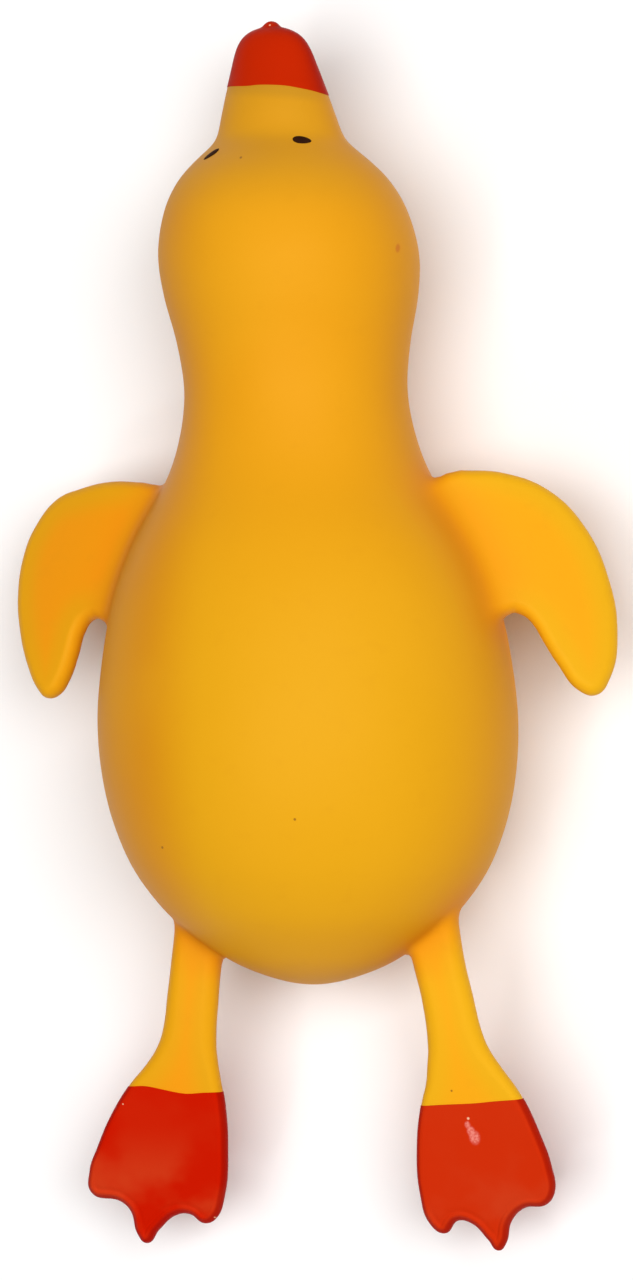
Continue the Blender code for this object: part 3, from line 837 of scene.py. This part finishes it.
def yellow_rubber():
    look = Look("yellow_rubber", roughness=0.5, specular=0.13, tint=(1.0, 0.8, 0.3))
    at = look.attribute("rest", "Vector")
    clouds = look.noise(at, 28.0, 2.0)
    x, y, _ = look.node("ShaderNodeSeparateXYZ", {"Vector": at}).outputs
    side = look.ramp(x, -35 * MM, 35 * MM)
    # painted shade on the left limbs, painted light on the right ones
    limbs, rims = look.mix(side, SHADED_LEFT_LIMB, LIT_RIGHT_LIMB), look.mix(side, SHADED_LEFT_RIM, LIT_RIGHT_RIM)
    base = look.mix(look.ramp(y, -10 * MM, 45 * MM), YELLOW, AMBER)
    # painted shade on the body's left side
    base = look.mix(look.ramp(x, -10 * MM, -24 * MM, 0.0, 0.75), base, LEFT_SHADE)
    base = look.mix(look.ramp(y, 68 * MM, 82 * MM), base, SNOUT)
    slanted = look.plus(y, look.times(x, 0.1))  # like the bill's paint line
    # darker brown on the yellow next to the bill's paint line
    base = look.mix(look.ramp(slanted, 90 * MM, 92 * MM, 0.0, 0.4), base, PAINT_LINE_BROWN)
    base = look.mix(look.ramp(clouds, 0.4, 0.75, 0.0, 0.35), base, PALE)
    # painted shade on the body's steep and under sides
    base = look.mix(look.times(look.attribute("flank"), 0.7), base, FLANK_SHADE)
    # the limbs' rims: yellower thin rubber, lifted by painted light
    base = look.mix(look.attribute("limb"), base, rims)
    base = look.mix(look.ramp(look.attribute("inner"), 0.0, 1.0), base, limbs)
    # painted shade in the folds between body and limbs
    base = look.mix(look.times(look.attribute("crease"), 0.65), base, FOLD_SHADE)
    mottle = look.noise(at, 260.0, 3.0)
    base = look.mix(look.ramp(mottle, 0.55, 0.8, 0.0, 0.10), base, DULL)
    for place, radius in FLECKS:
        base = look.mix(look.spot(at, row_spot(place), radius * MM), base, FLECK_BROWN)
    place, radius = SCRATCH
    mark = look.spot(at, row_spot(place), radius * MM, (1.6, 0.5, 0.0))
    base = look.mix(look.times(mark, 0.7), base, SCRATCH_BROWN)
    look.shade(base, look.ramp(clouds, 0.3, 0.7, 0.46, 0.56))
    look.bump((look.noise(at, 140.0, 2.0), 0.00006), (look.noise(at, 1500.0, 3.0), 0.000012))
    return look.material


def red_rubber():
    look = Look("red_rubber", roughness=0.38, specular=0.02, tint=(1.0, 0.5, 0.25))
    at = look.attribute("rest", "Vector")
    x, y, _ = look.node("ShaderNodeSeparateXYZ", {"Vector": at}).outputs
    # dust with a painted sheen: lighter, pinker patches low on the toes
    dust_and_sheen = look.ramp(look.noise(at, 75.0, 3.0), 0.38, 0.62)
    dust_and_sheen = look.times(dust_and_sheen, look.ramp(y, -83 * MM, -95 * MM, 0.15, 0.9))
    feet = look.mix(look.ramp(x, -20 * MM, 20 * MM), LEFT_RED, RIGHT_RED)
    base = look.mix(look.ramp(y, 0.0, 10 * MM), feet, BILL_RED)
    base = look.mix(dust_and_sheen, base, DUST_AND_SHEEN)
    # darker red over the whole bill and, as painted shade, along the feet's outlines
    base = look.mix(look.ramp(look.attribute("inner"), 0.0, 0.02, 0.65, 0.0), base, DARK_RED)
    # painted shade on the bill's steep and under sides
    base = look.mix(look.times(look.attribute("flank"), 0.6), base, DARK_RED)
    # bare spots in the red, and painted glints at the bill's tip and on the right foot
    for place, radius in CHIPS_AND_GLINTS:
        base = look.mix(look.spot(at, row_spot(place), radius * MM), base, CHIP_AND_GLINT)
    # painted highlight: pale pink specks on the right foot
    highlight_specks = look.ramp(look.noise(at, 2200.0, 2.0), 0.40, 0.60, 0.45, 0.95)
    for place, radius in FOOT_HIGHLIGHT:
        highlight_spot = look.spot(at, row_spot(place), radius * MM, (1.3, 1.0, 0.0))
        base = look.mix(look.times(highlight_specks, highlight_spot), base, SHEEN)
    look.shade(base, look.ramp(look.noise(at, 420.0, 2.0), 0.35, 0.65, 0.34, 0.46))
    look.bump((look.noise(at, 200.0, 2.0), 0.00003), (look.noise(at, 2600.0, 2.0), 0.00001))
    return look.material


def eye_paint():
    look = Look("eye_paint", roughness=0.5, specular=0.01)
    at = look.attribute("rest", "Vector")
    look.shade(look.mix(look.noise(at, 900.0, 2.0), *EYE_BROWNS))
    look.bump((look.noise(at, 1400.0, 2.0), 0.00003))
    return look.material


def moulded_plastic(name, tint, roughness):
    look = Look(name, roughness=roughness, specular=0.5)
    at = look.node("ShaderNodeTexCoord").outputs["Object"]
    darker = colour(*(c * 0.88 for c in tint[:3]))
    tone = look.mix(look.noise(at, 160.0, 2.0), tint, darker)
    look.shade(tone, look.ramp(look.noise(at, 500.0), 0.3, 0.7, roughness - 0.05, roughness + 0.08))
    look.bump((look.noise(at, 1800.0, 2.0), 0.00001))
    return look.material


# ---------------- the bird

def region_names(p):
    """Which stretch of skin each point belongs to. Later rules win."""
    x, y, z = p.T
    names = np.full(len(p), "torso", object)
    names[(y < SHOULDER_Y) & (z > MID + CAP_HEIGHT)] = "back"
    names[y > SHOULDER_Y] = "lower_neck"
    names[y > MID_NECK_Y] = "upper_neck"
    names[y > THROAT_Y] = "head"
    names[(y > THROAT_Y) & (bill_level(p) > 0)] = "bill"
    for side, sign in SIDES:
        wing, leg = WINGS[side], LEGS[side]
        names[(sign * x > 12) & (y > -30) & (y < 40) & (wing.level(p) < 0)] = side + "_wing"
        own = (sign * x > 8) & (y < -45) & (leg.level(p) < 0)
        names[own] = side + "_leg"
        names[own & (leg.frames[1].coordinates(p)[1] < BEND_BLEND[0])] = side + "_ankle"
        band = own & (leg.frames[2].coordinates(p)[1] < BEND_BLEND[0])
        names[band] = side + "_instep"
        names[band & (leg.paint_level(p) < 0)] = side + "_foot"
    return names


bill_paint = Profile(BILL_PAINT, 0.5)


def bill_level(p):
    return p[:, 1] - bill_paint(p[:, 0])


def squeaker_level(p):
    return np.linalg.norm(p[:, :2] - SQUEAKER, axis=1) - SEAT_HOLE


def skin_cuts():
    """Every bend line and paint line as (level, where), in the order in which they are cut."""
    def ring(line_y):
        return lambda p: p[:, 1] - line_y, lambda p: np.abs(p[:, 1] - line_y) < 4

    def strap(hinge):
        return lambda p: hinge.coordinates(p)[1] - BEND_BLEND[0]

    def window(sign, out, low_y, high_y):
        return lambda p: (sign * p[:, 0] > out) & (p[:, 1] > low_y) & (p[:, 1] < high_y)

    cuts = [ring(y) for y in (SHOULDER_Y, MID_NECK_Y, THROAT_Y)]
    cuts.append((bill_level, lambda p: p[:, 1] > THROAT_Y + 5))
    cuts.append((lambda p: p[:, 2] - MID - CAP_HEIGHT, lambda p: p[:, 1] < SHOULDER_Y + 4))
    cuts.append((squeaker_level, lambda p: p[:, 2] < 2))
    for side, sign in SIDES:
        leg, below_hip = LEGS[side], window(sign, *FOOT_WINDOW)
        cuts.append((WINGS[side].level, window(sign, *WING_WINDOW)))
        cuts.append((leg.level, window(sign, *HIP_WINDOW)))
        cuts += [(strap(hinge), below_hip) for hinge in leg.frames[1:]]
        cuts.append((leg.paint_level, below_hip))
    return cuts


def bend(piece, start, end):
    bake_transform(piece)


def finish_piece(piece, slot, *nodes):
    if nodes:
        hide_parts(*nodes)


def make_skin():
    low, high = np.array([-60.0, -112.0, -3.0]), np.array([60.0, 112.0, MID + 36.0])
    points, quads = surface_net(low, high, CELL)
    points = relaxed(points, quads)
    triangles = triangulated(points, quads)
    for level, where in skin_cuts():
        points, triangles = cut(points, triangles, level, where)
    centres = points[triangles].mean(1)
    names = region_names(centres)
    hole = (squeaker_level(centres) < 0) & (centres[:, 2] < 2)
    names[hole] = "hole"

    def stretch(name, look=YELLOW_LOOK, finer=0, **how):
        p, t = picked(points, triangles[names == name])
        for _ in range(finer):
            p, t = refined(p, t)
        return make_piece(name + "_rubber", p, t, look, **how)

    torso = stretch("torso")
    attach(torso, "torso")
    finish_piece(torso, "yellow_rubber", "torso_skin")

    back = stretch("back")
    bend(back, (0, 0, MID + CAP_HEIGHT), (0, 0, MID + 30.5))
    finish_piece(back, "yellow_rubber", "back_flex", "back_panel")

    neck = (("lower_neck", "torso", "neck", SHOULDER_Y, MID_NECK_Y, ("lower_neck_skin", "neck_ring")),
            ("upper_neck", "neck", "throat", MID_NECK_Y, THROAT_Y, ("upper_neck_skin", "throat_ring")),
            ("head", "throat", "head", THROAT_Y, BROW_Y, ("head_skin",)))
    for name, a, b, start, end, nodes in neck:
        piece = stretch(name)
        bend(piece, (0, start, MID), (0, end, MID))
        finish_piece(piece, "yellow_rubber", *nodes)

    bill = stretch("bill", RED_LOOK, finer=1, raise_by=PAINT_THICK)
    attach(bill, "head")
    finish_piece(bill, "red_rubber", "bill")

    for side, _ in SIDES:
        wing, leg = WINGS[side].frame, LEGS[side]
        piece = stretch(side + "_wing", finer=1, solid=True)
        start, end = (wing.place + wing.level * reach for reach in WING_BLEND)
        bend(piece, start, end)
        finish_piece(piece, "yellow_rubber", side + "_wing")
        runs = (("leg", "torso", "leg", HIP_BLEND, leg.frames[0], YELLOW_LOOK, (side + "_leg",)),
                ("ankle", "leg", "ankle", BEND_BLEND, leg.frames[1], YELLOW_LOOK, (side + "_ankle",)),
                ("instep", "ankle", "foot", BEND_BLEND, leg.frames[2], YELLOW_LOOK, ()),
                ("foot", "ankle", "foot", BEND_BLEND, leg.frames[2], RED_LOOK, (side + "_foot",)))
        for name, a, b, reach, place, look, nodes in runs:
            is_foot = name == "foot"
            finer, raise_by = (2, PAINT_THICK) if is_foot else (1, 0.0)
            piece = stretch(f"{side}_{name}", look, finer, solid=True, raise_by=raise_by)
            bend(piece, place.to_bird(0, reach[0]), place.to_bird(0, reach[1]))
            finish_piece(piece, "red_rubber" if is_foot else "yellow_rubber", *nodes)


def make_eyes():
    """Domed ovals of paint on the brow, each a closed film sunk a little into the skin."""
    rings, spokes = 7, 40
    for side, sign in SIDES:
        eye_y, angle = EYE_PLACE[side]
        angle, at_y = math.radians(sign * angle), np.array(eye_y)
        tilt = math.radians(float(twist(at_y)))
        half = math.sqrt(float(half_width_squared(at_y)))
        across, up = half * math.sin(angle), half * float(flatness(at_y)) * math.cos(angle)
        x = float(centre_line(at_y)) + across * math.cos(tilt) + up * math.sin(tilt)
        z = MID - across * math.sin(tilt) + up * math.cos(tilt)
        place = settle(np.array([[x, eye_y, z]]))
        normal = unit(gradient(skin, place))[0]
        level = unit(np.cross((0, 1, 0), normal))
        turn = math.radians(EYE_TURN[side])
        round_it = level * math.cos(turn) + np.cross(normal, level) * math.sin(turn)
        along = np.cross(normal, round_it)
        radius = np.repeat(np.arange(1, rings + 1) / rings, spokes)
        around = np.tile(2 * math.pi * np.arange(spokes) / spokes, rings)
        disc = np.stack([radius * np.cos(around), radius * np.sin(around)], 1)
        flat = np.concatenate([[[0.0, 0.0]], disc])
        wobble = 1 + 0.05 * np.sin(3 * np.arctan2(flat[:, 1], flat[:, 0]) + sign)
        spread = flat * wobble[:, None] * EYE_HALF
        top = settle(place + spread[:, :1] * round_it + spread[:, 1:] * along, 3)
        facing = unit(gradient(skin, top))
        rise = EYE_RISE * np.sqrt(np.maximum(1 - (flat**2).sum(1), 0))[:, None]
        upper, under = top + facing * (rise + 0.02), top - facing * 0.25
        count = len(top)
        faces = [(0, 1 + s, 1 + (s + 1) % spokes) for s in range(spokes)]
        for r in range(rings - 1):
            for s in range(spokes):
                a, b = 1 + r * spokes + s, 1 + r * spokes + (s + 1) % spokes
                faces += [(a, a + spokes, b + spokes), (a, b + spokes, b)]
        lower = [(c + count, b + count, a + count) for a, b, c in faces]
        last = 1 + (rings - 1) * spokes
        wall = []
        for s in range(spokes):
            a, b = last + s, last + (s + 1) % spokes
            wall += [(a, a + count, b + count), (a, b + count, b)]
        vertices = to_row(np.concatenate([upper, under]))
        eye = mesh_object(side + "_eye_paint", vertices, faces + lower + wall, EYE_LOOK)
        add_attribute(eye, "rest", vertices)
        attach(eye, "head")
        finish_piece(eye, "eye_paint", side + "_eye")


def make_seat():
    """The ring of belly rubber that grips the squeaker, turned from (radius, height) points."""
    profile = ((SEAT_HOLE + 0.1, 0.0), (10.9, 0.0), (10.5, 0.25), (10.4, 1.9), (8.8, 1.9), (8.5, 2.2),
               (8.5, 4.0), (8.8, 4.2), (12.2, 4.2), (13.2, 3.6), (13.8, 2.3), (SEAT_HOLE + 0.1, 1.6))
    steps = 96
    turn = np.linspace(0, 2 * math.pi, steps, endpoint=False)
    rings = [
        [(SQUEAKER[0] + r * math.cos(t), SQUEAKER[1] + r * math.sin(t), z) for r, z in profile]
        for t in turn
    ]
    count = len(profile)
    faces = []
    for s in range(steps):
        for k in range(count):
            a, b = s * count + k, s * count + (k + 1) % count
            shift = ((s + 1) % steps - s) * count
            faces.append((a, a + shift, b + shift, b))
    vertices = to_row(np.array(rings).reshape(-1, 3))
    seat = mesh_object("belly_seat", vertices, faces, YELLOW_LOOK)
    seat.data.flip_normals()
    seat.data.set_sharp_from_angle(angle=math.radians(35))
    add_attribute(seat, "rest", vertices)
    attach(seat, "torso")
    finish_piece(seat, "yellow_rubber")


def dress_squeaker():
    """Moulded plastic for the squeaker's CAD pieces, which keep their shape."""
    plastic = moulded_plastic("squeaker_plastic", colour(0.80, 0.79, 0.74), 0.4)
    film = moulded_plastic("reed_film", colour(0.78, 0.78, 0.72), 0.2)
    looks = {"squeaker_cup": plastic, "reed_bed": plastic, "reed_wedge": plastic, "reed": film}
    for name, look in looks.items():
        materials = frame["nodes"][name].data.materials
        materials.clear()
        materials.append(look)


# ---------------- studio

CAMERA_TILT = math.radians(15.0)  # towards the bird's right
CAMERA_AWAY = 1000.0
CAMERA_AIM = (-0.34, -0.68)  # the picture's middle, right and up of the bird's
LENS, SENSOR = 165.4, 36.0


def make_camera():
    right = np.array((math.cos(CAMERA_TILT), 0, -math.sin(CAMERA_TILT)))
    back = np.array((math.sin(CAMERA_TILT), 0, math.cos(CAMERA_TILT)))
    target = np.array((0, 0, MID)) + CAMERA_AIM[0] * right + CAMERA_AIM[1] * np.array((0, 1, 0))
    data = bpy.data.cameras.new("camera")
    data.lens, data.sensor_width = LENS, SENSOR
    data.clip_start, data.clip_end = 0.01, 20
    camera = bpy.data.objects.new("camera", data)
    camera.location = to_row(target + CAMERA_AWAY * back)
    camera.rotation_euler = (0, CAMERA_TILT, 0)
    bpy.context.scene.collection.objects.link(camera)
    bpy.context.scene.camera = camera


def softbox(name, direction, away, size, share):
    """An area light aimed at the bird, giving `share` of full white to a surface that faces it."""
    data = bpy.data.lights.new(name, "AREA")
    data.shape = "RECTANGLE"
    data.size, data.size_y = size
    data.energy = math.pi**2 * away**2 * share
    light = bpy.data.objects.new(name, data)
    towards = Vector(direction).normalized()
    light.location = towards * away
    light.rotation_euler = towards.to_track_quat("Z", "Y").to_euler()
    bpy.context.scene.collection.objects.link(light)


def make_studio():
    scene = bpy.context.scene
    scene.view_settings.view_transform = "Standard"
    world = bpy.data.worlds.new("studio")
    world.use_nodes = True
    background = world.node_tree.nodes["Background"].inputs
    background["Color"].default_value = colour(1.0, 0.99, 0.97)
    background["Strength"].default_value = 0.10
    scene.world = world
    softbox("overhead", (0.145, 0.05, 1.0), away=3.0, size=(1.5, 3.4), share=1.15)
    softbox("right_side", (0.6, 0.0, 0.8), away=3.0, size=(1.0, 2.4), share=0.08)
    softbox("tail_side", (-0.26, -0.5, 0.82), away=2.5, size=(0.25, 0.25), share=0.05)

    look = Look("floor", roughness=0.9, specular=0.1)
    look.shade(colour(0.95, 0.95, 0.95))
    half = 8.0  # metres
    corners = [(-half, -half, 0), (half, -half, 0), (half, half, 0), (-half, half, 0)]
    floor = mesh_object("floor", corners, [(0, 1, 2, 3)], look.material)
    floor.location.z = -0.3 * MM  # just clear of the belly


YELLOW_LOOK = yellow_rubber()
RED_LOOK = red_rubber()
EYE_LOOK = eye_paint()
make_skin()
make_eyes()
make_seat()
dress_squeaker()
make_camera()
make_studio()
